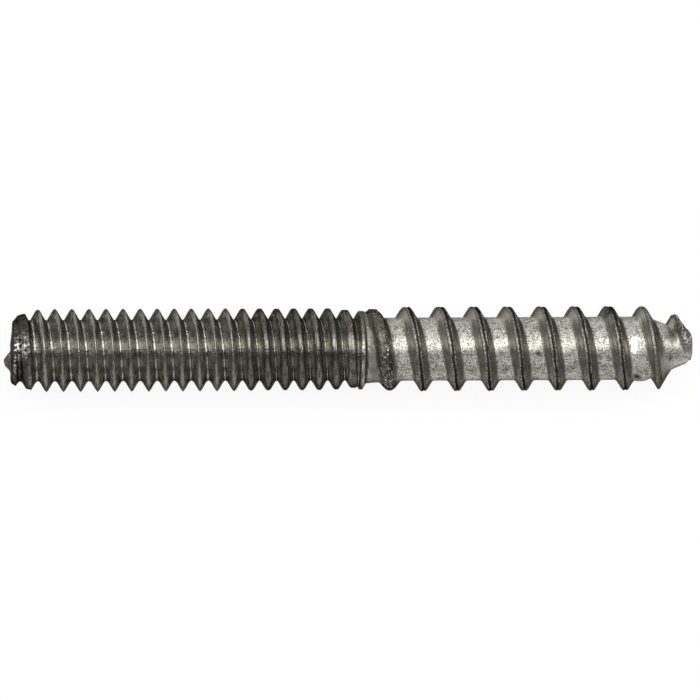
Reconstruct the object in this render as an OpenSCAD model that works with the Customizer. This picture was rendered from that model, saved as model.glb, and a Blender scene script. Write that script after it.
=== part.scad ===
// Hanger bolt: a machine thread at one end, a wood thread at the other, rolled on one steel rod.
// The bolt lies along X on the plane Z = 0, with its sheared end towards -X and its point towards +X.
// The origin is under the middle of its length. All sizes are in millimetres.

/* [Whole bolt] */
// Length from the sheared end to the tip of the point, without the burr
bolt_length = 50.8; // [44:0.1:76]
// Distance from the sheared end to the middle of the collar
collar_at = 25.95; // [16:0.01:32]

/* [Machine thread] */
// Diameter over the crests
machine_major_d = 6.1; // [5.9:0.01:6.4]
// Diameter at the bottom of the groove
machine_root_d = 4.56; // [4.3:0.01:4.8]
// Advance in one turn, 20 turns to the inch
machine_pitch = 1.27; // [1.1:0.01:1.5]
// Width of the flat on the crest
machine_crest_w = 0.08; // [0.06:0.01:0.2]
// Width of the flat at the bottom of the groove
machine_root_w = 0.29; // [0.15:0.01:0.35]
// Distance from the middle of the collar to the thread's last crest
machine_end_after = 0.09; // [-0.1:0.01:0.2]

/* [Sheared end] */
// Diameter of the flat left by the shear
end_face_d = 4.5; // [4:0.05:4.6]
// Angle by which the shear cut off square, in degrees
shear_angle = 1.6; // [0:0.1:3]
// Diameter of the rod blank, where the rolled-over edge of the end stops
blank_d = 5.28; // [5:0.02:5.4]
// Length of the rolled-over edge
end_edge_length = 0.36; // [0.2:0.02:0.6]
// Distance from the end at which the crests reach their full height
lead_in_length = 1.95; // [1:0.05:3]
// How far the burr stands out of the end
burr_length = 0.5; // [0.2:0.05:0.8]
// Width of the burr along the rim
burr_w = 1.4; // [0.6:0.05:1.8]
// Thickness of the burr
burr_t = 0.4; // [0.2:0.05:0.8]
// Distance from the axis to the middle of the burr, to the side
burr_at = 0.8; // [-1:0.05:1]

/* [Collar and shank] */
// Diameter of the collar of metal pushed up where the two threads meet
collar_d = 5.76; // [5.6:0.02:6.1]
// How far the collar stands off the axis, to the side
collar_shift = 0.1; // [0:0.01:0.15]
// Width of the collar's top
collar_w = 0.14; // [0.1:0.02:0.4]
// Angle of the collar's sides off square, in degrees
collar_slope = 30; // [20:1:40]
// Diameter of the plain shank beside the collar
shank_d = 5.06; // [4.9:0.02:5.3]
// Length of the plain shank
shank_length = 1.06; // [0.8:0.02:2]

/* [Wood thread] */
// Diameter over the crests
wood_major_d = 6.36; // [6.1:0.01:6.8]
// Diameter at the bottom of the groove
wood_root_d = 4.71; // [4.4:0.01:4.9]
// Advance in one turn, about 10 turns to the inch
wood_pitch = 2.519; // [2.2:0.01:3]
// Width of the ridge at its foot
wood_foot_w = 1.28; // [1:0.02:1.6]
// Width of the crest, over both of its lips
wood_crest_w = 0.34; // [0.24:0.02:0.5]
// Depth of the rolling seam between the lips
seam_depth = 0.1; // [0.04:0.01:0.2]
// Distance from the middle of the collar to the first crest
first_crest_after = 0.91; // [0.8:0.01:1.2]

/* [Point] */
// Length of the point, with its nose
point_length = 3.4; // [2.6:0.02:6]
// Diameter at the front of the taper, where the blunt nose starts
nose_d = 2.3; // [1.6:0.02:2.6]
// Length of the nose
nose_length = 0.46; // [0.3:0.02:0.8]

/* [Fineness] */
// Flat steps in one turn of a thread, a multiple of 4
steps_per_turn = 32; // [16:4:40]

/* [Hidden] */

machine_major_r = machine_major_d / 2;
machine_root_r = machine_root_d / 2;
machine_foot_w = machine_pitch - machine_root_w;
blank_r = blank_d / 2;
end_face_r = end_face_d / 2;
collar_r = collar_d / 2;
shank_r = shank_d / 2;
wood_major_r = wood_major_d / 2;
wood_root_r = wood_root_d / 2;
nose_r = nose_d / 2;

// How far the foot of a ridge is let into the core, so that the two become one solid
let_in = 0.08;
// How far the core and the first turn reach past the end before the shear trims them
spare = 1.5;
core_faces = 96;

// The collar's foot is sunk by its shift, so that it leaves no step on its low side
collar_back_r = machine_root_r - collar_shift;
collar_front_r = shank_r - collar_shift;
function collar_side(foot_r) = (collar_r - foot_r) * tan(collar_slope);

// Places along the bolt, measured from the sheared end
machine_end = collar_at + machine_end_after;
collar_back = collar_at - collar_w / 2;
collar_front = collar_at + collar_w / 2;
shank_start = collar_front + collar_side(collar_front_r);
shank_end = shank_start + shank_length;
shank_step = 0.12;
wood_start = collar_at + first_crest_after;
point_start = bolt_length - point_length;
nose_start = bolt_length - nose_length;

// The nose is a dome
dome_r = (nose_r * nose_r + nose_length * nose_length) / 2 / nose_length;
dome_angle = asin(nose_r / dome_r);
dome_steps = 6;
nose = [for (i = [0:dome_steps]) let (a = dome_angle * (1 - i / dome_steps))
    [bolt_length - dome_r + dome_r * cos(a), dome_r * sin(a)]];

// Outline of the rod without its threads and collar, as [distance from the sheared end, radius]
outline = concat([
    [-spare, machine_root_r],
    [collar_back, machine_root_r],
    [collar_front, shank_r],
    [shank_end, shank_r],
    [shank_end + shank_step, wood_root_r],
    [point_start, wood_root_r],
], nose);

function core_radius(along) = lookup(along, outline);

// Height of the machine thread against turns from its last crest: it runs out into the collar
machine_run_out = [[-2, 1], [-1.5, 0.94], [-1, 0.86], [-0.5, 0.74], [0, 0.7], [0.12, 0.5], [0.34, -0.1]];
machine_last_turn = 0.34;

// Height of the wood thread against turns from its first crest, and against turns from its end
wood_run_in = [[-0.35, -0.1], [-0.1, 0.62], [0, 0.7], [0.5, 0.84], [1, 0.94], [1.5, 1]];
wood_run_out = [[-2, 1], [-1.4, 0.95], [-1.15, 1.05], [-0.9, 1.33], [-0.65, 1.33], [-0.4, 1.26],
    [-0.15, 0.57], [0, -0.1]];
wood_first_turn = -0.35;
// The crest narrows to an edge on the point
wood_crest_taper = [[-2, 1], [-1, 0.3], [0, 0.3]];
// The wood thread's end lies this far behind the tip
wood_end_gap = 0.25;
wood_turns = (bolt_length - wood_end_gap - wood_start) / wood_pitch;

// The bolt rests on a flat step of the wood thread's crest
rest_height = wood_major_r * cos(180 / steps_per_turn);
middle = (bolt_length - burr_length) / 2;

// A ridge wound on the core, right-handed, with turn 0 on the +Y side at the distance `from`.
// section(turn, along) returns the corners of the ridge there, as [distance, radius].
module helical_ridge(first_turn, last_turn, from, pitch, section) {
    steps = floor((last_turn - first_turn) * steps_per_turn);
    start = ceil(first_turn * steps_per_turn);
    // half a step of shift puts a flat, and not an edge, on the underside
    turn = [for (i = [0:steps]) (start + i + 0.5) / steps_per_turn];
    corners = [for (t = turn) section(t, from + pitch * t)];
    count = len(corners[0]);
    points = [for (i = [0:steps]) for (c = corners[i]) let (a = 360 * turn[i])
        [c[0], c[1] * cos(a), c[1] * sin(a)]];
    sides = [for (i = [0:steps - 1]) for (j = [0:count - 1])
        let (a = i * count + j, b = i * count + (j + 1) % count)
        for (face = [[a, b, b + count], [a, b + count, a + count]]) face];
    ends = [[for (j = [count - 1:-1:0]) j], [for (j = [0:count - 1]) steps * count + j]];
    polyhedron(points = points, faces = concat(sides, ends), convexity = 20);
}

// Turns a profile of [distance, radius] points, closed along the axis, into a solid along X
module turned(profile) {
    last = len(profile) - 1;
    rotate([0, 90, 0])
        rotate_extrude($fn = core_faces)
            polygon(concat(
                [[0, profile[0][0]]],
                [for (p = profile) if (p[1] > 0) [p[1], p[0]]],
                [[0, profile[last][0]]]));
}

// The rod under the threads, with the shank and the point
module core() {
    turned(outline);
}

// The ring of metal pushed up between the threads, a little off the axis
module collar() {
    translate([0, -collar_shift, 0])
        turned([
            [collar_back - collar_side(collar_back_r), collar_back_r],
            [collar_back, collar_r],
            [collar_front, collar_r],
            [shank_start, collar_front_r],
        ]);
}

function machine_section(turn, along) =
    let (full = machine_major_r - machine_root_r,
         height = full * (turn < -2 ? 1 : lookup(turn, machine_run_out)),
         slope = (machine_foot_w - machine_crest_w) / 2 / full,
         foot = machine_foot_w / 2 + let_in * slope,
         crest = machine_foot_w / 2 - height * slope)
    [[along - foot, machine_root_r - let_in],
     [along - crest, machine_root_r + height],
     [along + crest, machine_root_r + height],
     [along + foot, machine_root_r - let_in]];

module machine_thread() {
    first_turn = -(machine_end + spare - machine_foot_w / 2) / machine_pitch;
    helical_ridge(first_turn, machine_last_turn, machine_end, machine_pitch,
        function(turn, along) machine_section(turn, along));
}

// The foot of each side stands on the core where that side meets it, so the ridge follows the taper
function wood_section(turn, along) =
    let (full = wood_major_r - wood_root_r,
         left = turn - wood_turns,
         share = turn < 1.5 ? lookup(turn, wood_run_in) : lookup(left, wood_run_out),
         height = full * share,
         top = core_radius(along) + height,
         slope = (wood_foot_w - wood_crest_w) / 2 / full,
         crest = wood_crest_w / 2 * lookup(left, wood_crest_taper),
         seam = seam_depth * max(0, min(1, share)) * lookup(left, wood_crest_taper),
         foot = [for (side = [-1, 1])
             let (near = along + side * (crest + height * slope))
             along + side * (crest + (top - core_radius(near)) * slope)],
         base = max(let_in, min(core_radius(foot[0]), core_radius(foot[1])) - let_in))
    [[foot[0] - (core_radius(foot[0]) - base) * slope, base],
     [along - crest, top],
     [along, top - seam],
     [along + crest, top],
     [foot[1] + (core_radius(foot[1]) - base) * slope, base]];

module wood_thread() {
    helical_ridge(wood_first_turn, wood_turns, wood_start, wood_pitch,
        function(turn, along) wood_section(turn, along));
}

// What the shear and the rolled-over edge take off the end
module end_trim() {
    lead_slope = (machine_major_r - blank_r) / (lead_in_length - end_edge_length);
    beyond = 0.4;
    outside = machine_major_r + 2;
    rotate([0, 0, -shear_angle])
        turned([
            [-2 * spare, outside],
            [lead_in_length + beyond, outside],
            [lead_in_length + beyond, machine_major_r + beyond * lead_slope],
            [end_edge_length, blank_r],
            [0, end_face_r],
        ]);
}

// The tongue of metal that the shear leaves standing on the underside of the rim
module burr() {
    root = 0.2;
    translate([0, -burr_at, 0])
        intersection() {
            translate([0, burr_at, 0])
                difference() {
                    turned([[-burr_length, end_face_r], [root, end_face_r]]);
                    turned([[-2 * burr_length, end_face_r - burr_t], [2 * root, end_face_r - burr_t]]);
                }
            translate([0, 0, -2 * end_face_r])
                linear_extrude(2 * end_face_r)
                    polygon([
                        [root, -burr_w / 2], [0, -burr_w / 2],
                        [-burr_length * 0.85, -burr_w * 0.2], [-burr_length, burr_w * 0.1],
                        [-burr_length * 0.3, burr_w * 0.46], [0, burr_w / 2], [root, burr_w / 2],
                    ]);
        }
}

module hanger_bolt() {
    color("slategray")
        translate([-middle, 0, rest_height])
            union() {
                difference() {
                    union() {
                        core();
                        collar();
                        machine_thread();
                        wood_thread();
                    }
                    end_trim();
                }
                burr();
            }
}

hanger_bolt();
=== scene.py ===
# %% [markdown]
# # A hanger bolt that lies on its side
#
# A hanger bolt is one steel rod with two threads. A machine thread takes a nut at one end, and a
# coarse wood thread bites into timber at the other. Both are rolled between dies and not cut, and
# rolling is what gives the bolt its look: rounded crests, a ring of metal pushed up between the
# threads, and a wood thread whose crest closed over itself and left a seam.
#
# This lesson makes the bolt as one skin of points, and then gives it one layered steel material.
# Lengths are written in millimetres, as a maker writes them, and become metres at the last moment.

import math

import bmesh
import bpy
import numpy as np
from mathutils import Matrix, Vector, noise


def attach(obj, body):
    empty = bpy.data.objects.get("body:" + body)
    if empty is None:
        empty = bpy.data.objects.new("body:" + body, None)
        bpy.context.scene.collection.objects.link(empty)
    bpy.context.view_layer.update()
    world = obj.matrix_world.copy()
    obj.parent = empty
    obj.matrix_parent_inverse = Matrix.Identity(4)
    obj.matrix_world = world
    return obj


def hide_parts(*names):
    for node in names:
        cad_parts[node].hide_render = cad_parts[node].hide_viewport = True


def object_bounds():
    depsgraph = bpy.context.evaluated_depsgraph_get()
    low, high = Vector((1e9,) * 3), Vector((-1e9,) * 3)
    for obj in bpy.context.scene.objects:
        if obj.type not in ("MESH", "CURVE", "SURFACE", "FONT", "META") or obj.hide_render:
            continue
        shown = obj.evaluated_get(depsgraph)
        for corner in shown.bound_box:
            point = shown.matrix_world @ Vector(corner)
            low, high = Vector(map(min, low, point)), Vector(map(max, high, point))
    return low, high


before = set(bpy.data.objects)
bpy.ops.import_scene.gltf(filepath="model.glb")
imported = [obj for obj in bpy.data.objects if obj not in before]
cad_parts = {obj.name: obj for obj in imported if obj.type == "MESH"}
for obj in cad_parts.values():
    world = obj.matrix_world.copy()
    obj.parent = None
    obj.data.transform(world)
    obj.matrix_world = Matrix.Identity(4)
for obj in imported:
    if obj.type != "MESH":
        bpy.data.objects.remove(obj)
cad_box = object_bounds()
MM = 0.001
print("CAD nodes:", len(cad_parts))
print("CAD box in mm:", [[round(v / MM, 3) for v in corner] for corner in cad_box])

# %% [markdown]
# ## The sizes
#
# The packed solid is the truth about the bolt's size, so the skin repeats the same driving sizes
# and then adds what a solid model leaves out. A place along the bolt is its distance from the
# sheared end. A place around the bolt is an angle, 0 on the +Y side and a quarter turn on top.
# Both threads are right-handed and pass the +Y side at a whole number of turns.

# %% Sizes along the rod
bolt_length = 50.8
burr_length = 0.5
middle = (bolt_length - burr_length) / 2
axis_height = (cad_box[1][2] - cad_box[0][2]) / MM / 2

end_face_r = 2.31
end_face_off_axis = 0.11
blank_r = 2.64
end_edge_length = 0.36
lead_in_length = 1.95
shear_slope = math.tan(math.radians(1.6))

point_start = bolt_length - 3.4
nose_r = 1.15
nose_length = 0.46
nose_start = bolt_length - nose_length
dome_r = (nose_r ** 2 + nose_length ** 2) / 2 / nose_length
dome_angle = math.asin(nose_r / dome_r)
dome_arc = dome_r * dome_angle
print(f"axis {axis_height:.3f} mm above the floor, nose dome {dome_r:.2f} mm in radius")

# %% Sizes of the two threads and the ring between them
machine_pitch = 1.27
machine_end = 26.04
machine_crest_r = 3.055
machine_root_r = 2.28
machine_crest_half = 0.04
machine_foot_half = 0.49

wood_pitch = 2.519
wood_start = 26.86
wood_crest_r = 3.135
wood_root_r = 2.355
wood_crest_half = 0.18
wood_foot_half = 0.64
wood_turns = (bolt_length - 0.25 - wood_start) / wood_pitch

ring_at = 25.95
ring_r = 2.89
ring_half = 0.11
ring_side = math.tan(math.radians(30))
ring_off_axis = 0.1
shank_r = 2.53
shank_start = 26.26
shank_end = 27.3
print(f"wood thread: {wood_turns:.2f} turns")

# %% [markdown]
# ## How the threads start and stop
#
# A rolled thread doesn't end at a wall. The dies lift off the rod, so the ridge grows over about a
# turn and sinks again. Each table below gives the height of a ridge as a share of its full height,
# against turns from the ridge's start or its end. numpy reads between the rows. The rod under the
# threads has such a table too, with its radius against the place along the bolt.

# %% Tables for the ends of the threads and for the rod
machine_run_out = [(-2, 1), (-1.5, 0.94), (-1, 0.86), (-0.5, 0.74),
                   (0, 0.7), (0.12, 0.5), (0.34, -0.2)]
wood_run_in = [(-0.35, -0.2), (-0.1, 0.5), (0, 0.58), (0.25, 0.76), (0.5, 0.92), (1, 1)]
wood_run_out = [(-2, 1), (-1.4, 0.96), (-1.15, 1.06), (-0.9, 1.36), (-0.65, 1.36), (-0.4, 1.3),
                (-0.15, 0.57), (0, -0.2)]
core_outline = [(0, machine_root_r), (ring_at, machine_root_r), (shank_start, shank_r),
                (shank_end, shank_r - 0.05), (shank_end + 0.15, wood_root_r),
                (point_start, wood_root_r), (nose_start, nose_r), (bolt_length, nose_r)]


def read_table(table, place):
    """The table's value at each place, on straight lines between its rows."""
    rows = np.array(table, dtype=float)
    return np.interp(place, rows[:, 0], rows[:, 1])


taper_r = float(read_table(core_outline, (point_start + nose_start) / 2))
print(f"rod: {taper_r:.2f} mm in radius half way down the taper")

# %% [markdown]
# ## Small tools for shapes
#
# A few curves do most of the shaping. `eased` goes from 0 to 1 between two places without a kink,
# and `plateau` goes up to 1 and down again. `soft_min` and `soft_max` join two surfaces with a
# small radius, as a die does, where plain `min` and `max` would leave a knife edge. `lumps` reads
# Blender's own gradient noise, which gives the same answer on every run.

# %% Shaping tools
def eased(value, low, high):
    """0 below low, 1 above high, and a smooth S between."""
    share = np.clip((value - low) / (high - low), 0, 1)
    return share * share * (3 - 2 * share)


def plateau(value, start, full, fade, stop):
    """0 before start, 1 from full to fade, and 0 again after stop."""
    return eased(value, start, full) * (1 - eased(value, fade, stop))


def soft_min(a, b, radius):
    """The lower of two surfaces, rounded where they cross."""
    share = np.clip(0.5 + (b - a) / radius / 2, 0, 1)
    return b + (a - b) * share - radius * share * (1 - share)


def soft_max(a, b, radius):
    """The higher of two surfaces, rounded where they cross."""
    return -soft_min(-a, -b, radius)


def lumps(points, size, seed):
    """Smooth noise from -1 to 1 at each point, with lumps about `size` across."""
    shift = Vector((seed * 7.31, seed * 3.17, seed * 5.77))
    return np.array([noise.noise(Vector(p) / size + shift) for p in points])


print("eased half way up:", float(eased(0.5, 0, 1)))
print("2 and 2.1 joined with a radius of 0.2:", round(float(soft_min(2, 2.1, 0.2)), 4))

# %% [markdown]
# ## One skin wound like the threads
#
# The obvious grid for a rod is a stack of rings. A thread crosses such a grid at a slant, so each
# crest turns into a staircase unless there are thousands of rings. Here the grid is wound like the
# thread itself. It is one long ribbon, as wide as one pitch and some thirty turns long, whose edge
# meets the next turn's edge. A line of points then runs along each crest and each root, so a few
# points across the ridge are enough. The ribbon's pitch changes from fine to coarse under the ring.
# At both ends the ribbon winds on across the end face, to one point on the axis.
#
# Turn 0 passes the +Y side where the machine thread ends, and turn 1 where the wood thread starts.

# %% Wind the ribbon
steps_per_turn = 104
points_across = 24
face_turns = 1.8
face_reach = face_turns * machine_pitch
first_turn = -machine_end / machine_pitch - face_turns
nose_turn = 10.2
nose_pitch = 1.3
nose_place = wood_start + wood_pitch * (nose_turn - 1)
last_turn = nose_turn + (nose_start + dome_arc - nose_place) / nose_pitch
join_turns = (-0.5, 1)
ribbon_places = [
    (first_turn, machine_end + machine_pitch * first_turn),
    (join_turns[0], machine_end + machine_pitch * join_turns[0]),
    (join_turns[1], wood_start),
    (nose_turn, nose_place),
    (last_turn, nose_start + dome_arc),
]
print(f"ribbon: from turn {first_turn:.2f} to turn {last_turn:.2f}")

# %% Points across the ribbon
# Distances from a crest at which the ribbon has points, over half a pitch
machine_half = [0, 0.03, 0.07, 0.12, 0.19, 0.26, 0.33, 0.4, 0.46, 0.51, 0.56, 0.6]
wood_half = [0, 0.045, 0.09, 0.145, 0.2, 0.29, 0.42, 0.56, 0.67, 0.8, 0.94, 1.1]


def across(half, pitch):
    """Shares of the pitch at which a ribbon has points: half of them, the middle, the mirror."""
    steps = np.array(half) / pitch
    return np.concatenate([steps, [0.5], 1 - steps[:0:-1]])


machine_across = across(machine_half, machine_pitch)
wood_across = across(wood_half, wood_pitch)
even_across = np.arange(points_across) / points_across
print("points across the ribbon:", len(machine_across), len(wood_across), len(even_across))

# %% Places of the ribbon's points
# One turn more at each end lies wholly on the axis and closes the skin
turn_count = math.ceil((last_turn - first_turn + 2) * steps_per_turn)
turns = first_turn - 1 + np.arange(turn_count + 1) / steps_per_turn
# Start on a whole step, so that a crest's line of points passes the +Y side
turns = np.round(turns * steps_per_turn) / steps_per_turn
# The points crowd on each thread's crests, and stand evenly at both ends and between the threads
on_machine = plateau(turns, first_turn, first_turn + 0.8, -1.5, -0.7)
on_wood = plateau(turns, 0.2, 1, 9.4, nose_turn)
shares = (on_machine[:, None] * machine_across + on_wood[:, None] * wood_across
          + (1 - on_machine - on_wood)[:, None] * even_across)
strip = turns[:, None] + shares
angle = np.repeat(2 * math.pi * turns[:, None], points_across, axis=1)
place = read_table(ribbon_places, strip)
print("ribbon:", place.shape, "points over", round(float(place.max() - place.min()), 2), "mm")

# %% [markdown]
# ## The height of the skin
#
# Every point of the ribbon knows where it is along and around the bolt. What is left is how far it
# stands from the axis. Each part of the bolt is worked out by itself: the rod, the two ridges, the
# ring and the lead-in of the end. `soft_max` then lets the highest one show, and `soft_min` takes
# off what the lead-in cuts. Past the nose's start, the way along the ribbon becomes the way over a
# dome, so the same points also close the nose.

# %% Where each point is
on_dome = place > nose_start
dome_at = dome_angle * (1 - np.clip((place - nose_start) / dome_arc, 0, 1))
along = np.clip(place, 0, nose_start)
along = np.where(on_dome, bolt_length - dome_r + dome_r * np.cos(dome_at), along)
core = read_table(core_outline, along)
core = np.where(on_dome, dome_r * np.sin(dome_at), core)
# 0 on the +Y side and 2 on the -Y side, where the dies had slipped and everything is rounder
low_side = 1 - np.cos(angle)


def degrees_from(mark):
    """How far each point is from a mark around the bolt, from -180 to 180 degrees."""
    return (np.degrees(angle) - mark + 180) % 360 - 180


print("nose: the dome covers", int(on_dome.sum()), "points")

# %% Unevenness that the whole skin shares
# The noise is read on a plain rod, so that both edges of the ribbon agree
rod_points = np.stack([along, wood_root_r * np.cos(angle), wood_root_r * np.sin(angle)], -1)
rod_points = rod_points.reshape(-1, 3)


def rod_lumps(size, seed):
    """Noise at each point of the ribbon."""
    return lumps(rod_points, size, seed).reshape(place.shape)


medium = rod_lumps(0.55, 2)
fine = rod_lumps(0.24, 3)
print("noise ranges:", [round(float(np.abs(n).max()), 2) for n in (medium, fine)])

# %% Distance of each point from the nearest crest
around = angle / (2 * math.pi) % 1


def nearest_crest(start, pitch):
    """The nearest crest's turn, counted from `start`, and the distance to it along the bolt."""
    whole = np.round((along - start) / pitch - around)
    turn = whole + around
    return turn, along - start - pitch * turn


machine_turn, from_machine = nearest_crest(machine_end, machine_pitch)
wood_turn, from_wood = nearest_crest(wood_start, wood_pitch)
print("crests: at most", round(float(np.abs(from_wood).max()), 2), "mm away on the wood thread")

# %% [markdown]
# ## The machine thread
#
# The dies press grooves into the rod and push the metal up between them, so the crests are round
# and the sides are straight. A Screw modifier could sweep one outline into a thread, but this one
# fades out, is rubbed flat in places and is rounder on one side. So a ridge is two surfaces here: a
# top that runs along the crest, and a flank that falls away on both sides. `soft_min` joins them.
# Rounding takes a little off a crest, so its top starts higher by about as much.

# %% The machine thread
machine_full = machine_crest_r - machine_root_r
machine_share = read_table(machine_run_out, machine_turn)
machine_slope = (machine_foot_half - machine_crest_half) / machine_full
# The last turns were rubbed against something: their crests are flatter, most on the -Y side
rubbed = eased(machine_turn, -8.5, -6) * eased(0.2 - machine_turn, 0, 0.5)
rubbed_off = 0.03 + 0.035 * low_side + 0.02 * low_side * eased(-machine_turn, 0.5, 2)
spare_height = 0.04 + 0.035 * low_side
machine_top = machine_root_r + machine_full * machine_share + spare_height + 0.012 * medium
machine_top = machine_top - rubbed * rubbed_off
foot_half = machine_foot_half + 0.04 + 0.06 * rubbed
machine_flank = machine_root_r + (foot_half - np.abs(from_machine)) / machine_slope
crest_rounding = (0.12 + 0.13 * low_side) * (1 - 0.4 * rubbed)
machine_ridge = soft_min(machine_top, machine_flank, crest_rounding)
print("machine thread: crest", round(float(machine_ridge.max()), 3), "mm from the axis")

# %% [markdown]
# ## The wood thread and its seam
#
# When the die squeezes a tall, narrow ridge, metal climbs both of its sides and meets at the top.
# The two lips never weld, so a dark seam runs along the crest, and each lip is a little ragged.
# The crest is a flat with a soft notch in it. Noise moves the notch from side to side and makes the
# lips uneven. On the first turn, where the ridge is still low, the lips are torn, and a row of pits
# takes the place of the seam.

# %% The seam
wood_full = wood_crest_r - wood_root_r
past_end = wood_turn - wood_turns
wood_share = np.where(wood_turn < 1.5, read_table(wood_run_in, wood_turn),
                      read_table(wood_run_out, past_end))
narrowing = 1 - 0.65 * eased(past_end, -2, -1)
torn_lips = 1 - eased(wood_turn, 0.3, 1.1)
seam_wander = (0.03 + 0.07 * rod_lumps(0.9, 4)) * narrowing
seam_width = 0.085 * (1 + 0.5 * rod_lumps(0.4, 8))
seam = np.exp(-((from_wood - seam_wander) / seam_width) ** 2) * np.clip(wood_share, 0, 1)
seam = seam * (1 - eased(past_end, -1.9, -1.2)) * (1 - 0.8 * torn_lips)
print("seam: notched over", int((seam > 0.5).sum()), "points")

# %% The wood thread
wood_slope = (wood_foot_half - wood_crest_half) / wood_full
lip_roughness = 0.02 + 0.06 * torn_lips
seam_depth = 0.065 + 0.03 * fine
rod_below = read_table(core_outline, wood_start + wood_pitch * wood_turn)
wood_top = rod_below + wood_full * wood_share + 0.02 + 0.015 * medium + lip_roughness * fine
crest_half = (wood_crest_half + 0.03) * narrowing * (1 + 0.3 * torn_lips)
# The last half turn leans over the tip, so its front is a long slope and not a wall
leaning = 1 + 1.5 * eased(past_end, -0.38, -0.2) * (from_wood > 0) + 0.3 * torn_lips
wood_flank = wood_top - (np.abs(from_wood) - crest_half) / wood_slope / leaning
wood_rounding = 0.08 + 0.07 * low_side * narrowing + 0.16 * torn_lips
wood_ridge = soft_min(wood_top, wood_flank, wood_rounding) - seam_depth * seam
# Over the dome, the ridge sinks to nothing before it reaches the axis
off_pole = eased(core, 0.15, 0.9)
wood_ridge = core + (wood_ridge - core) * np.where(on_dome, off_pole, 1)
print("wood thread: crest", round(float(wood_ridge.max()), 3), "mm from the axis")

# %% [markdown]
# ## The ring and the lead-in
#
# The two sets of dies push a little spare metal ahead of them, and it stands up as a ring between
# the threads, slightly off the axis. At the other end, the rod was sheared before it was rolled.
# The blade dragged its edge over, so the first turns of the thread are low and the edge is round.

# %% The ring
ring_reach = 1
off_ring = np.abs(along - ring_at) - ring_half
ring = ring_r - np.maximum(off_ring, 0) / ring_side - ring_off_axis * np.cos(angle)
ring = np.where(off_ring < ring_reach, ring + 0.012 * medium, 0)
print("ring: up to", round(float(ring.max()), 3), "mm from the axis")

# %% The lead-in
edge_rows = [(0, 0), (end_edge_length, 1)]
face_edge = end_face_r - end_face_off_axis * np.cos(angle) + 0.03 * medium
lead_in = face_edge + (blank_r - face_edge) * read_table(edge_rows, along)
lead_slope = (machine_crest_r - blank_r) / (lead_in_length - end_edge_length)
lead_in = lead_in + lead_slope * np.maximum(along - end_edge_length, 0)
print("lead-in: the end's edge is", round(float(face_edge.mean()), 3), "mm from the axis")

# %% [markdown]
# ## The rod between the ridges
#
# The rod isn't a clean cylinder either. It swells a little before the point, on the -Y side, and
# something pressed one small flat into its coat. Such a flat is far easier to see than its depth
# suggests, because it sends all of a lamp's light one way.

# %% The rod, its swell and its flat
in_wood = eased(along, 26.3, 26.8)
rod = core + in_wood * (0.012 * medium + 0.006 * fine)

swell_height = 0.11
swell = plateau(along, 46.2, 46.6, 47, 47.6) * eased(-np.cos(angle), 0.2, 0.9)
rod = rod + swell_height * swell * (1 - on_dome)

flat_at, flat_degrees = 46.2, 85
flat_half, flat_depth, flat_spread = 0.32, 0.085, 0.5
off_flat = np.radians(degrees_from(flat_degrees))
flat = np.exp(-((along - flat_at) / flat_half) ** 4) * (np.abs(off_flat) < flat_spread)
pressed = (wood_root_r - flat_depth) / np.cos(np.clip(off_flat, -flat_spread, flat_spread))
rod = rod - flat * (rod - np.minimum(rod, pressed))
print("flat: pressed over", int((flat > 0.5).sum()), "points")

# %% [markdown]
# ## Put the parts together
#
# The parts meet with the radii that the dies and the blade left: wide in the roots, where the metal
# flowed, and small at the sheared edge. A bevel could round them afterwards, but it needs edges to
# work on, and a skin made of heights has none.

# %% Put the parts together
# The groove is a sharp V on the +Y side and rounder on the -Y side
groove_rounding = 0.15 - 0.06 * np.cos(angle)
wood_root_rounding, ring_rounding, edge_rounding = 0.14, 0.13, 0.05
machine_stop_turn, wood_reach = 0.4, 1.2
skin = soft_max(rod, machine_ridge, groove_rounding)
skin = np.where(machine_turn > machine_stop_turn, rod, skin)
wood_part = np.where(np.abs(from_wood) < wood_reach, wood_ridge, 0)
skin = soft_max(skin, wood_part, wood_root_rounding)
skin = soft_max(skin, ring, ring_rounding)
skin = soft_min(skin, lead_in, edge_rounding)
# Across the end face the ribbon runs straight to the axis, and both ends stop on it
skin = np.where(place < 0, face_edge * (1 + place / face_reach), skin)
skin = np.where(on_dome & (core < 1e-6), 0, skin)
print("skin: up to", round(float(skin.max()), 3), "mm from the axis")

# %% [markdown]
# ## The sheared end
#
# A shear cuts part of the way and tears the rest. The cut part is smooth with fine streaks along
# the blade's path, and the torn part is a step lower and grainy. The cut is a little off square.
# The last of the metal hangs from the rim as a burr. All of it is a shift of the end's points along
# the bolt, so the end needs no mesh of its own. The noise is read by the place on the face and not
# by the angle: noise by angle would run into the middle as a star of creases.

# %% The cut and the torn part of the face
side = skin * np.cos(angle)
up = skin * np.sin(angle)
off_square = side * shear_slope * (1 - eased(along, 0.1, 2))
on_face = eased(-place, 0.02, 0.12)
face_points = np.stack([side, up, 0 * up], -1).reshape(-1, 3)
tear_wander = lumps(face_points, 1.3, 9).reshape(place.shape)
torn_part = eased(up + 0.3 * tear_wander, -0.5, 0.1)
streaks = lumps(face_points * (1, 0.18, 1), 0.22, 5).reshape(place.shape)
grain = lumps(face_points, 0.33, 6).reshape(place.shape)
tear_depth, streak_depth, grain_depth, face_sink = 0.05, 0.02, 0.05, 0.03
face_shift = on_face * (tear_depth * torn_part + streak_depth * streaks * (1 - torn_part)
                        + grain_depth * grain * torn_part + face_sink)
near_rim = eased(0.35 - np.abs(along), 0, 0.35) * (1 - eased(-place, 0, 0.7))
rim_shift = 0.05 * medium * near_rim
print("end: shifted by up to", round(float(np.abs(face_shift + rim_shift).max()), 3), "mm")

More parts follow.
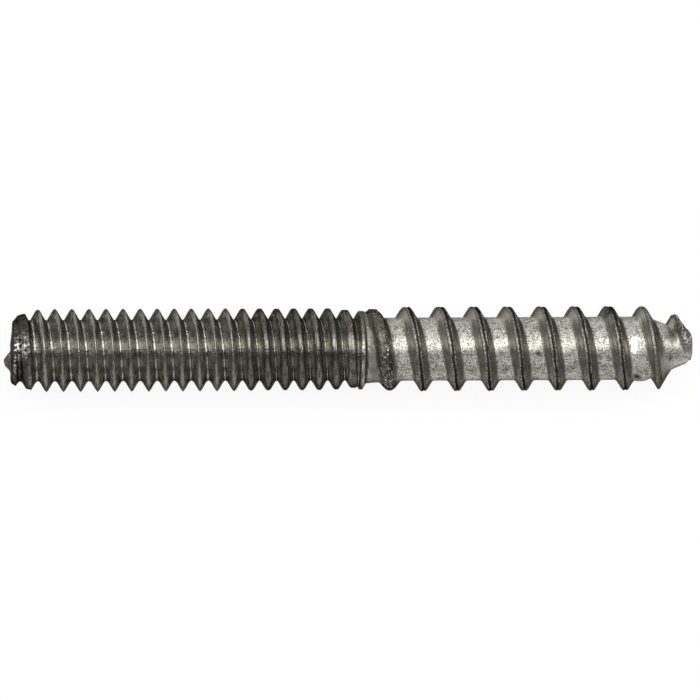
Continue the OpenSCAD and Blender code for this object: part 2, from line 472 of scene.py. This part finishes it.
# %% The burr, and the shift of the end
burr_side = -0.8
burr_outline = [(-0.7, 0), (-0.28, 0.85), (0.14, 1), (0.644, 0.3), (0.7, 0)]
burr_depth = burr_length * read_table(burr_outline, side - burr_side)
burr_band = eased(skin, 1.82, 1.9) * (1 - eased(along, 0, 0.12)) * (up < 0)
off_burr = 1 - burr_band * (burr_depth > 0)
lengthwise = along + off_square + face_shift * off_burr + rim_shift - burr_depth * burr_band
# A hair inside the solid's box
box_margin = 0.002
lengthwise = np.clip(lengthwise, box_margin - burr_length, bolt_length - box_margin)
pole_at = np.where(place < 1, lengthwise[0, 0], bolt_length - box_margin)
lengthwise = np.where(skin < 1e-9, pole_at, lengthwise)
print("end: the burr reaches", round(float(lengthwise.min()), 3), "mm")

# %% [markdown]
# ## The ragged tip
#
# The point was pinched off when the thread was rolled, so the nose isn't a clean dome. It has a
# rough slanted scar on the side that faces +X, with ridges that follow the pinch. The scar is a
# stretch of the wood thread's last half turn, so it is found by turns and not by place.

# %% Roughen the tip
ragged_end = past_end + 0.1 * medium
tip_zone = plateau(ragged_end, -0.5, -0.34, -0.27, -0.05) * eased(from_wood, -0.25, -0.1)
tip_zone = tip_zone * eased(core, 0.02, 0.5)
scar = lumps(rod_points * (1, 0.35, 0.35), 0.16, 7).reshape(place.shape)
skin = skin + tip_zone * (0.08 * scar + 0.03 * medium)
top_margin = 0.004
skin = np.minimum(skin, axis_height - top_margin)
print("tip roughened over", int((tip_zone > 0).sum()), "points")

# %% [markdown]
# ## The mesh
#
# The ribbon becomes faces in one go. A point's neighbour across the ribbon is the next column, and
# past the last column it is the first one of the next turn. That one rule sews each turn to the
# next. Points that no face uses are left out.

# %% The mesh
def ribbon_index(step, column):
    """Index of a point, where the column past the last one is the next turn's first."""
    wraps = column == points_across
    return (step + steps_per_turn * wraps) * points_across + column * (1 - wraps)


faced_steps = turn_count - steps_per_turn
step, column = np.meshgrid(np.arange(faced_steps), np.arange(points_across), indexing="ij")
quads = np.stack([ribbon_index(step, column), ribbon_index(step, column + 1),
                  ribbon_index(step + 1, column + 1), ribbon_index(step + 1, column)], -1)
used, compact = np.unique(quads.reshape(-1, 4), return_inverse=True)
quads = compact.reshape(-1, 4)
points = np.stack([lengthwise - middle, skin * np.cos(angle),
                   axis_height + skin * np.sin(angle)], -1).reshape(-1, 3) * MM
mesh = bpy.data.meshes.new("bolt")
mesh.from_pydata(points[used].tolist(), [], quads.tolist())
print("mesh:", len(used), "points,", len(quads), "faces")

# %% [markdown]
# ## Numbers for the material
#
# A die burnishes the crests, a fine dark line of painted shade runs along each root, and the seam
# is dark. The steel has to know where those are. The skin's own heights say so exactly, so they go
# onto the mesh as attributes: one number for each point, which the shader reads back. A painted
# mask could do the same, but it would have to be painted again whenever a size changed.

# %% Where the threads are
def store(name, values):
    """Puts one number for each point of the ribbon on the mesh."""
    layer = mesh.attributes.new(name, "FLOAT", "POINT")
    layer.data.foreach_set("value", values.reshape(-1)[used].astype(np.float32))


ridge_height = np.where(along < ring_at, (skin - machine_root_r) / machine_full,
                        (skin - rod) / wood_full)
store("ridge", np.clip(ridge_height, 0, 1.2))
store("wood", in_wood)
store("seam", np.clip(seam, 0, 1) * (in_wood > 0.2))
store("rubbed", rubbed * (1 - in_wood))
# The slope just in front of the wood thread's crest, towards the point
front_slope = plateau(from_wood, -0.02, 0.06, 0.34, 0.44) * in_wood * eased(wood_turn, -0.1, 0.1)
store("front_slope", front_slope)
print("ridge: the crests are over", int((ridge_height > 0.9).sum()), "points")

# %% The bottom of the machine thread's groove
groove_stop = 25.6
in_groove = along < groove_stop
from_bottom = machine_pitch / 2 - np.abs(from_machine)
signed_bottom = np.where(from_machine > 0, -from_bottom, from_bottom)
store("groove_floor", np.exp(-(from_bottom / 0.16) ** 2) * in_groove * eased(along, 1, 1.6))
# A fine dark line of painted shade for the groove's crease, a little to one side of the deepest
# place
line_at, line_half = 0.06, 0.04
groove_crease_shade = np.exp(-((signed_bottom - line_at) / line_half) ** 2)
store("groove_crease_shade", groove_crease_shade * in_groove * eased(along, 1.4, 2))
print("groove: its dark line is", 2 * line_half, "mm wide")

# %% The two ends
store("cut_end", on_face)
store("rim", (1 - eased(along, 0.9, 1.7)) * (1 - on_face))
store("tip", tip_zone)
degrees_round = np.degrees(angle) % 360
# On the nose, the coat covers the top and the -Y side, up to the scar
coated = plateau(degrees_round, 50, 75, 200, 230) * eased(along, 49.0, 49.4) * (1 - tip_zone)
store("coated", coated)
print("nose: coated over", int((coated > 0.5).sum()), "points")

# %% [markdown]
# ## Patches of wear and painted glints
#
# Some marks belong to one place only: a stain by the ring, a pit in a root, a brown spot near the
# point, and pale spots on the rim that are painted glints. They could be painted by hand. Here each
# is a soft oval on the skin, given by its place along the bolt, its angle, and its half size both
# ways, so it can be moved by changing a number. The shader breaks up its border with noise later
# on.

# %% Patches
def patch(place_mm, degrees, half_length, half_degrees):
    """1 in the middle of a patch on the skin, and 0 well outside it."""
    return np.exp(-((along - place_mm) / half_length) ** 2
                  - (degrees_from(degrees) / half_degrees) ** 2)


def patches(*ovals):
    """Several patches together, at most 1. Each oval is its strength and what `patch` takes."""
    return np.clip(sum(strength * patch(*oval) for strength, *oval in ovals), 0, 1)


smooth_shank = patch(26.8, 140, 0.75, 42) * (1 - eased(along, 27.3, 27.5))
store("smooth", np.clip(1.4 * smooth_shank, 0, 1) * (along > 26.2))
store("stain", patches((1, 26.75, 35, 0.5, 45), (1, 26.7, 80, 0.4, 25),
                       (1, 27.2, 75, 0.35, 40), (1, 25.9, 35, 0.35, 30)))
store("pits", in_wood * patches((1, 38.98, 97, 0.2, 6), (1, 46.5, 150, 0.25, 8),
                                (1, 44.4, 25, 0.4, 12), (1, 36.2, 172, 0.3, 7)))
store("brown", patches((1, 49.25, 50, 0.45, 27), (0.4, 47.9, 128, 0.3, 28), (0.5, 26, 60, 0.5, 30)))
# Pale spots on the rim, placed where glints show: painted glints
store("scraped", (1 - on_face) * patches((1.5, 0.25, 84, 0.5, 17), (1, 0.1, 112, 0.12, 22)))
# The torn first turn of the wood thread, dark with a few glints
crest_band = 1 - eased(np.abs(from_wood + 0.1 * medium), 0.35, 0.7)
torn_crest = np.clip(torn_lips * eased(wood_share, 0.1, 0.6) * crest_band, 0, 1)
store("torn_crest", torn_crest * (along > 26.1))
# The distance from the small flat, both ways, in millimetres
store("flat_along", np.clip(along - flat_at, -2, 2))
store("flat_around", np.clip(off_flat * wood_root_r, -2, 2))
print("attributes:", [layer.name for layer in mesh.attributes if layer.data_type == "FLOAT"])

# %% [markdown]
# ## A flat map of the skin
#
# The material below is made of nodes and needs no map. A model that leaves Blender does, because
# its colours are baked into a picture. An automatic unwrap would cut a thread into hundreds of
# slivers. The ribbon already is a flat strip: around the bolt is one side of the map, and the way
# along the skin is the other. The strip is cut once in the middle, and the halves lie side by side.

# %% Lay the skin flat
map_gap = 0.004
cut_at = 0.0
first_half = cut_at - first_turn
second_half = last_turn - cut_at


def map_point(index, turn_share, in_left):
    """Map coordinates of ribbon points: the share of a turn, and the way along the strip."""
    on_strip = strip.reshape(-1)[index]
    way = np.where(in_left, (on_strip - first_turn) / first_half, (on_strip - cut_at) / second_half)
    x = np.where(in_left, 0, 0.5) + map_gap + (0.5 - 2 * map_gap) * turn_share
    y = map_gap + (1 - 2 * map_gap) * np.clip(way, 0, 1)
    return np.stack([x, y], -1)


# A face's two later corners are one step on, so a face never reaches across the map's side
corner_index = used[quads]
corner_steps = (step.reshape(-1) % steps_per_turn)[:, None] + np.array([0, 0, 1, 1])
starts_left = (strip < cut_at).reshape(-1)[corner_index].min(axis=1)
in_left = np.repeat(starts_left[:, None], 4, axis=1)
uvs = map_point(corner_index, corner_steps / steps_per_turn, in_left)
flat_map = mesh.uv_layers.new(name="OFBake")
flat_map.data.foreach_set("uv", uvs.reshape(-1).astype(np.float32))
print("map spans", uvs.reshape(-1, 2).min(axis=0).round(3), uvs.reshape(-1, 2).max(axis=0).round(3))

# %% [markdown]
# ## Close the ends
#
# The first and the last turn of the ribbon lie on one point each, on the axis. Merging those points
# closes the skin, and no cap is needed. Smooth shading is right all over: a rolled thread has no
# edge that isn't rounded a little.

# %% Merge the poles and shade smooth
shape = bmesh.new()
shape.from_mesh(mesh)
bmesh.ops.remove_doubles(shape, verts=shape.verts, dist=1e-8)
bmesh.ops.recalc_face_normals(shape, faces=shape.faces)
open_edges = sum(edge.is_boundary for edge in shape.edges)
for face in shape.faces:
    face.smooth = True
shape.to_mesh(mesh)
shape.free()
bolt = bpy.data.objects.new("bolt", mesh)
bpy.context.scene.collection.objects.link(bolt)
triangles = sum(len(face.vertices) - 2 for face in mesh.polygons)
print("bolt:", len(mesh.vertices), "points,", triangles, "triangles,", open_edges, "open edges")

# %% [markdown]
# ## Writing a shader as sums
#
# A node tree is a set of sums, and sums read best as sums. `Wire` holds one output socket. Adding,
# subtracting or multiplying wires makes the Math node for it, so `1 - seam` is a mask turned round.
# Every other node comes from `add`, which sets the node's own settings first.

# %% Wire
class Wire:
    """An output socket of a shader tree, with Python's operators as its Math nodes."""

    def __init__(self, tree, socket=None):
        self.tree = tree
        self.socket = socket

    def add(self, kind, settings, sockets, out=0):
        """Makes a node, sets it, fills its sockets with values or links, and returns one output."""
        node = self.tree.nodes.new(kind)
        for name, value in settings.items():
            setattr(node, name, value)
        for name, value in sockets.items():
            if isinstance(value, Wire):
                self.tree.links.new(value.socket, node.inputs[name])
            else:
                node.inputs[name].default_value = value
        return Wire(self.tree, node.outputs[out])

    def maths(self, operation, *values):
        return self.add("ShaderNodeMath", {"operation": operation}, dict(enumerate(values)))

    def __add__(self, other):
        return self.maths("ADD", self, other)

    def __sub__(self, other):
        return self.maths("SUBTRACT", self, other)

    def __rsub__(self, other):
        return self.maths("SUBTRACT", other, self)

    def __mul__(self, other):
        return self.maths("MULTIPLY", self, other)

    __radd__ = __add__
    __rmul__ = __mul__

    def rise(self, low, high):
        """0 below low, 1 above high, with a smooth step between."""
        limits = {"Value": self, "From Min": low, "From Max": high}
        return self.add("ShaderNodeMapRange", {"interpolation_type": "SMOOTHSTEP"}, limits)

    def blend(self, below, above):
        """The colour below where this mask is 0, and the colour above where it is 1."""
        sockets = {0: self, 6: below, 7: above}
        return self.add("ShaderNodeMix", {"data_type": "RGBA"}, sockets, out=2)


def start_tree(material):
    """Clears a material's nodes and returns a wire to build from, and its output node."""
    material.use_nodes = True
    material.node_tree.nodes.clear()
    return Wire(material.node_tree), material.node_tree.nodes.new("ShaderNodeOutputMaterial")


print("Wire's own nodes:", [name for name in vars(Wire) if not name.startswith("_")])

# %% [markdown]
# ## Rolled steel with a dull coat
#
# The bolt has one metal and several finishes. The die's flanks are dark and smooth. The crests are
# rubbed. The root of the wood thread was never touched by a die's edge, so its coat is crystalline,
# mottled from nearly white to dark grey. The seam is painted dark, and a line of painted shade
# darkens the crease in each groove. One material holds them all, because they run into each other:
# masks decide what shows where. The colours below are written as the eye reads them from 0 to 255,
# and turned into light once.

# %% Colours
def tone(red, green, blue):
    """A colour read off as 0 to 255, as the linear light that a shader works in."""
    def linear(value):
        share = value / 255
        return share / 12.92 if share <= 0.04045 else ((share + 0.055) / 1.055) ** 2.4
    return (linear(red), linear(green), linear(blue), 1)


flank_dark = tone(138, 137, 130)
flank_light = tone(180, 178, 170)
floor_bright = tone(172, 170, 162)
wood_flank_grey = tone(170, 167, 159)
crest_grey = tone(142, 140, 133)
crest_worn = tone(104, 101, 93)
front_dark = tone(104, 101, 94)
zinc_dark = tone(116, 113, 105)
zinc_pale = tone(214, 211, 202)
zinc_smooth = tone(140, 135, 127)
seam_dark_and_crease_shade = tone(52, 50, 46)
oxide_brown = tone(112, 94, 80)
stain_grey = tone(108, 105, 97)
torn_dark = tone(82, 80, 74)
scar_dark = tone(66, 64, 58)
print("steel: base light", [round(part, 3) for part in flank_dark[:3]], "on the darkest flanks")

# %% What the shader knows of each place
steel = bpy.data.materials.new("rolled_steel")
tree, steel_output = start_tree(steel)


def stored(name):
    """One of the numbers stored on the mesh."""
    return tree.add("ShaderNodeAttribute", {"attribute_name": name}, {}, out=2)


where = tree.add("ShaderNodeTexCoord", {}, {}, out=3)
ridge, wood, seam_line = stored("ridge"), stored("wood"), stored("seam")
rubbed_crest, front = stored("rubbed"), stored("front_slope")
groove_floor, groove_crease_shade = stored("groove_floor"), stored("groove_crease_shade")
cut_end, rim, tip, coated = stored("cut_end"), stored("rim"), stored("tip"), stored("coated")
smooth_patch, stain, pits = stored("smooth"), stored("stain"), stored("pits")
brown_patch, scraped, torn_first = stored("brown"), stored("scraped"), stored("torn_crest")
flat_along, flat_around = stored("flat_along"), stored("flat_around")
print("steel:", len(steel.node_tree.nodes), "nodes that read the mesh")

# %% [markdown]
# ## Patterns
#
# The patterns are noise in several sizes. They could come from pictures of metal, which would need
# seams and would blur up close. Noise in the bolt's own space stays put on the metal and is sharp
# at any size. Rolling draws things out around the bolt, so some lumps are stretched along Y and Z.
# Crystals, specks and flecks are a tenth of a millimetre or two across, as on a real coat.

# %% Patterns
def mottle(size, detail=3.0, roughness=0.6, stretch=(1, 1, 1)):
    """Noise from 0 to 1 with lumps `size` millimetres across, longer along an axis by `stretch`."""
    scaled = tree.add("ShaderNodeVectorMath", {"operation": "DIVIDE"}, {0: where, 1: stretch})
    sockets = {"Vector": scaled, "Scale": 1 / (size * MM), "Detail": detail, "Roughness": roughness}
    return tree.add("ShaderNodeTexNoise", {}, sockets)


cloud = mottle(0.9)
crystals = mottle(0.11, detail=2.0)
specks = mottle(0.1, detail=2.0, roughness=0.7)
rolling_lines = mottle(0.13, detail=2.0, stretch=(1, 9, 9))
dents = mottle(0.2, stretch=(1, 2, 2))
flecks = mottle(0.17, detail=1.0)
splashes = mottle(0.33, detail=1.5)
spots = mottle(0.4, roughness=0.7)
print("steel:", len(steel.node_tree.nodes), "nodes with the patterns")

# %% Masks
# 1 where the coat shows as it was: between the wood thread's ridges, and on the point
root_mask = (1 - ridge.rise(0.02, 0.1)) * wood
root_mask = root_mask.maths("MAXIMUM", root_mask, coated)
crest_mask = ridge.rise(0.82, 0.97)
wood_side = (1 - root_mask) * wood
worn_crest = rubbed_crest * ridge.rise(0.5, 0.8) * rolling_lines.rise(0.22, 0.52)
# The polished flat is a ragged oval that narrows towards one side
along_weight = 7 + flat_around.rise(-0.7, 0.7) * 14
from_middle = flat_along * flat_along * along_weight + flat_around * flat_around * 1.9
polish = 1 - (from_middle + spots * 1.6).rise(1.5, 1.75)
print("steel:", len(steel.node_tree.nodes), "nodes with the masks")

# %% [markdown]
# ## The base colour
#
# The colour is laid on in coats, as a painter would: first the clean metal of the flanks, the roots
# and the crests, then wear and painted glints, then oxide, the dark seam and painted shade in the
# grooves. Each line blends one more colour over what is there. A mask times a noise gives a patch a
# broken border, and a narrow `rise` makes that border sharp.

# %% Clean metal
flanks = (cloud * 0.3 + spots * 0.3 + rolling_lines * 0.4).rise(0.42, 0.58)
flanks = flanks.blend(flank_dark, flank_light)
flanks = groove_floor.blend(flanks, floor_bright)
flanks = wood_side.blend(flanks, wood_flank_grey)
zinc = (crystals * 0.6 + spots * 0.25 + cloud * 0.15 + coated * 0.03).rise(0.41, 0.57)
zinc = zinc.blend(zinc_dark, zinc_pale)
zinc = smooth_patch.blend(zinc, zinc_smooth)
colour = root_mask.blend(flanks, zinc)
colour = (crest_mask * 0.8).blend(colour, crest_grey)
print("steel:", len(steel.node_tree.nodes), "nodes with the clean metal")

# %% Wear, torn metal and painted glints on the rim
colour = worn_crest.blend(colour, crest_worn)
colour = (crest_mask * wood * flecks.rise(0.4, 0.55) * 0.7).blend(colour, front_dark)
colour = (front * specks.rise(0.4, 0.6) * 0.4).blend(colour, front_dark)
colour = (torn_first * dents.rise(0.25, 0.5)).blend(colour, torn_dark)
colour = (torn_first * flecks.rise(0.6, 0.66)).blend(colour, zinc_pale)
colour = (stain * specks.rise(0.35, 0.5)).blend(colour, stain_grey)
colour = ((tip + pits * 1.5) * crystals.rise(0.35, 0.55)).blend(colour, scar_dark)
colour = (tip * flecks.rise(0.54, 0.6)).blend(colour, zinc_pale)
colour = rim.blend(colour, torn_dark)
# Painted glints: pale spots on the rim
colour = (scraped * splashes.rise(0.46, 0.52)).blend(colour, zinc_pale)
colour = (cut_end * 0.7).blend(colour, scar_dark)
print("steel:", len(steel.node_tree.nodes), "nodes with the wear")

# %% Oxide, the dark seam, painted shade in the grooves and the polished flat
colour = (brown_patch * crystals.rise(0.3, 0.6)).blend(colour, oxide_brown)
# Painted shade: the crease beside each groove's deepest place is painted dark
colour = (groove_crease_shade * 0.85).blend(colour, seam_dark_and_crease_shade)
colour = (seam_line + flecks * 0.9).rise(0.5, 0.95).blend(colour, seam_dark_and_crease_shade)
colour = polish.blend(colour, zinc_pale)
print("steel:", len(steel.node_tree.nodes), "nodes with the oxide, seam and painted shade")

# %% [markdown]
# ## Roughness and relief
#
# How wide a highlight spreads is the roughness. It is low on the flanks, where the die was smooth,
# and higher on the coat and on torn metal. Relief finer than the mesh is a bump: the coat's
# crystals, the fine lines that rolling leaves, and the grain of what was torn. As real points it
# would take many millions of them. The heights are true millimetres, so the light falls on the
# bump as it would on the real grain.

# %% Roughness
bare_roughness = 0.24
dullness = root_mask * 0.17 + wood_side * 0.04 + seam_line * 0.05
dullness = dullness + (cut_end + tip + stain) * 0.1 - torn_first * 0.1
roughness = bare_roughness + dullness + (dents - 0.5) * 0.25 - polish * 0.28 - groove_floor * 0.06
print("steel:", len(steel.node_tree.nodes), "nodes with the roughness")

# %% Relief, in millimetres
zinc_relief = root_mask * (1 - smooth_patch * 0.8) * (crystals * 0.007 + dents * 0.012)
line_depth = 0.033 + rubbed_crest * ridge * 0.03
die_marks = rolling_lines * line_depth + dents * 0.018 + spots * 0.05
steel_relief = (1 - root_mask) * (1 - wood * 0.5) * die_marks
grainy = tip + stain * 0.6 + pits + front * 0.15 + seam_line * 0.8 + crest_mask * wood * 0.7
torn_relief = grainy * (specks * 0.04 + crystals * 0.03)
torn_relief = torn_relief + torn_first * (crystals * 0.012 + dents * 0.07)
torn_relief = torn_relief + rim * (dents * 0.012 + splashes * 0.14)
height = (zinc_relief + steel_relief + torn_relief) * (1 - polish)
relief = tree.add("ShaderNodeBump", {}, {"Strength": 1.0, "Distance": MM, "Height": height})
print("steel:", len(steel.node_tree.nodes), "nodes with the relief")

# %% The steel
# Its edges are barely brighter than its middle, as on dull zinc, so the edge tint stays near black
edge_tint = (0.02, 0.02, 0.02, 1)
# The coat's crystals scatter a little light, as paint does
metallic = 0.95 - root_mask * 0.13
metal = tree.add("ShaderNodeBsdfPrincipled", {}, {
    "Base Color": colour, "Metallic": metallic, "Roughness": roughness, "Normal": relief,
    "Specular IOR Level": 0.1, "Specular Tint": edge_tint})
steel.node_tree.links.new(metal.socket, steel_output.inputs["Surface"])
mesh.materials.append(steel)
print("steel:", len(steel.node_tree.nodes), "nodes in all")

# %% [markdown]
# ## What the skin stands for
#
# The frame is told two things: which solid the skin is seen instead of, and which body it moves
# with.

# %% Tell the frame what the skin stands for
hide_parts("hanger_bolt")
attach(bolt, "root")
print("bolt: stands for the solid")

# %% [markdown]
# ## A pale floor
#
# Bare metal shows what is around it, so the floor matters as much as the lamps. It is plain white
# card. Card lit at a plain level renders a little under white, so where the camera or a mirror ray
# sees it, part of its light is its own. The rest is still lit, and that part keeps the shadow.

# %% Floor
floor_reach = 3.0
floor_drop = 0.02
corners = [(-floor_reach, -floor_reach, 0), (floor_reach, -floor_reach, 0),
           (floor_reach, floor_reach, 0), (-floor_reach, floor_reach, 0)]
floor_mesh = bpy.data.meshes.new("floor")
floor_mesh.from_pydata(corners, [], [(0, 1, 2, 3)])
floor = bpy.data.objects.new("floor", floor_mesh)
bpy.context.scene.collection.objects.link(floor)
floor.location.z = -floor_drop * MM
print("floor: a card", 2 * floor_reach, "m wide,", floor_drop, "mm under the bolt")

# %% White card
card = bpy.data.materials.new("white_card")
card_tree, card_output = start_tree(card)
own_light_share, card_white = 0.92, 0.95
ray = card_tree.add("ShaderNodeLightPath", {}, {})
rays = {socket.name: Wire(card.node_tree, socket) for socket in ray.socket.node.outputs}
seen = rays["Is Camera Ray"].maths("MAXIMUM", rays["Is Camera Ray"], rays["Is Glossy Ray"])
seen = seen.maths("MAXIMUM", seen, rays["Is Transmission Ray"])
lit = card_tree.add("ShaderNodeBsdfDiffuse", {}, {"Color": (card_white, card_white, card_white, 1)})
glowing = card_tree.add("ShaderNodeEmission", {}, {"Color": (1, 1, 1, 1), "Strength": 1.0})
mixed = card_tree.add("ShaderNodeMixShader", {}, {0: seen * own_light_share, 1: lit, 2: glowing})
card.node_tree.links.new(mixed.socket, card_output.inputs["Surface"])
floor_mesh.materials.append(card)
print("card:", len(card.node_tree.nodes), "nodes")

# %% [markdown]
# ## Light
#
# A shiny cylinder is lit by shapes. A long strip lamp over the bolt draws one bright band along it,
# and everything else mirrors the room, which is dark grey here. The strip stands a little to the
# +Y side, so its band sits above the middle of the bolt. A weaker strip beside it carries the band
# on with a soft border. A tiny strong lamp low on the +Y side makes small sparks in the grooves,
# and a wide weak one on the -Y side fills the undersides of the ridges. A picture of a studio could
# light the bolt too, but then no single reflection could be moved by itself.

# %% Lamps
lamp_distance = 0.5


def soft_lamp(name, tilt_degrees, length, width, brightness, shift=0):
    """A rectangle over the bolt, tilted from straight up towards +Y. Brightness 1 is white."""
    lamp = bpy.data.lights.new(name, "AREA")
    lamp.shape = "RECTANGLE"
    lamp.size = length
    lamp.size_y = width
    lamp.energy = brightness * math.pi * length * width
    holder = bpy.data.objects.new(name, lamp)
    tilt = math.radians(tilt_degrees)
    holder.location = (shift, lamp_distance * math.sin(tilt), lamp_distance * math.cos(tilt))
    holder.rotation_euler = (-tilt, 0, 0)
    bpy.context.scene.collection.objects.link(holder)
    print(name, "shines with", round(lamp.energy, 3), "W")


soft_lamp("softbox", tilt_degrees=17, length=1.8, width=0.268, brightness=3.5)
soft_lamp("spill", tilt_degrees=45, length=1.8, width=0.22, brightness=0.9)
soft_lamp("kicker", tilt_degrees=69, length=0.03, width=0.03, brightness=70)
soft_lamp("fill", tilt_degrees=-50, length=1.0, width=0.32, brightness=0.8, shift=-0.1)

# %% The room
room_grey = 0.1
room = bpy.data.worlds.new("room")
bpy.context.scene.world = room
room.use_nodes = True
background = room.node_tree.nodes["Background"]
background.inputs["Color"].default_value = (room_grey, room_grey, room_grey, 1)
print("room: a grey of", room_grey)

# %% [markdown]
# ## Camera
#
# A long lens far away keeps both ends of the bolt the same size. It looks straight down, turned a
# little so that the faces of the ridges that look towards -X show more than the others. The lens
# follows from how many pixels a millimetre covers, and the camera slides sideways until the point
# it aims at falls on its pixel, so it needs no shift.

# %% Camera
picture_width = 700
pixels_per_mm = 13.439
camera_distance = 820
aim = Vector((0.275, 0, axis_height))
aim_column, aim_row = 353.35, 349.41
camera_turn = math.radians(5.03)
camera_roll = math.radians(0.245)

camera_data = bpy.data.cameras.new("camera")
camera_data.sensor_width = 36
camera_data.lens = pixels_per_mm * camera_distance / picture_width * camera_data.sensor_width
camera_data.clip_start = 0.01
facing = Matrix.Rotation(-camera_turn, 3, "Y") @ Matrix.Rotation(-camera_roll, 3, "Z")
right, over, back = facing.col
spot = aim + back * camera_distance
spot += right * (picture_width / 2 - aim_column) / pixels_per_mm
spot += over * (aim_row - picture_width / 2) / pixels_per_mm
camera = bpy.data.objects.new("camera", camera_data)
camera.matrix_world = Matrix.Translation(spot * MM) @ facing.to_4x4()
bpy.context.scene.collection.objects.link(camera)
bpy.context.scene.camera = camera
bpy.context.scene.view_settings.view_transform = "Standard"
print("camera: lens", round(camera_data.lens, 1), "mm at", [round(v, 1) for v in spot])

# %% [markdown]
# ## The last step
#
# Nothing on the skin may stand outside the solid's box, or the picture and the part would disagree
# about the bolt's size. Here the scene is brought up to date.

# %% Bring the scene up to date
bpy.context.view_layer.update()
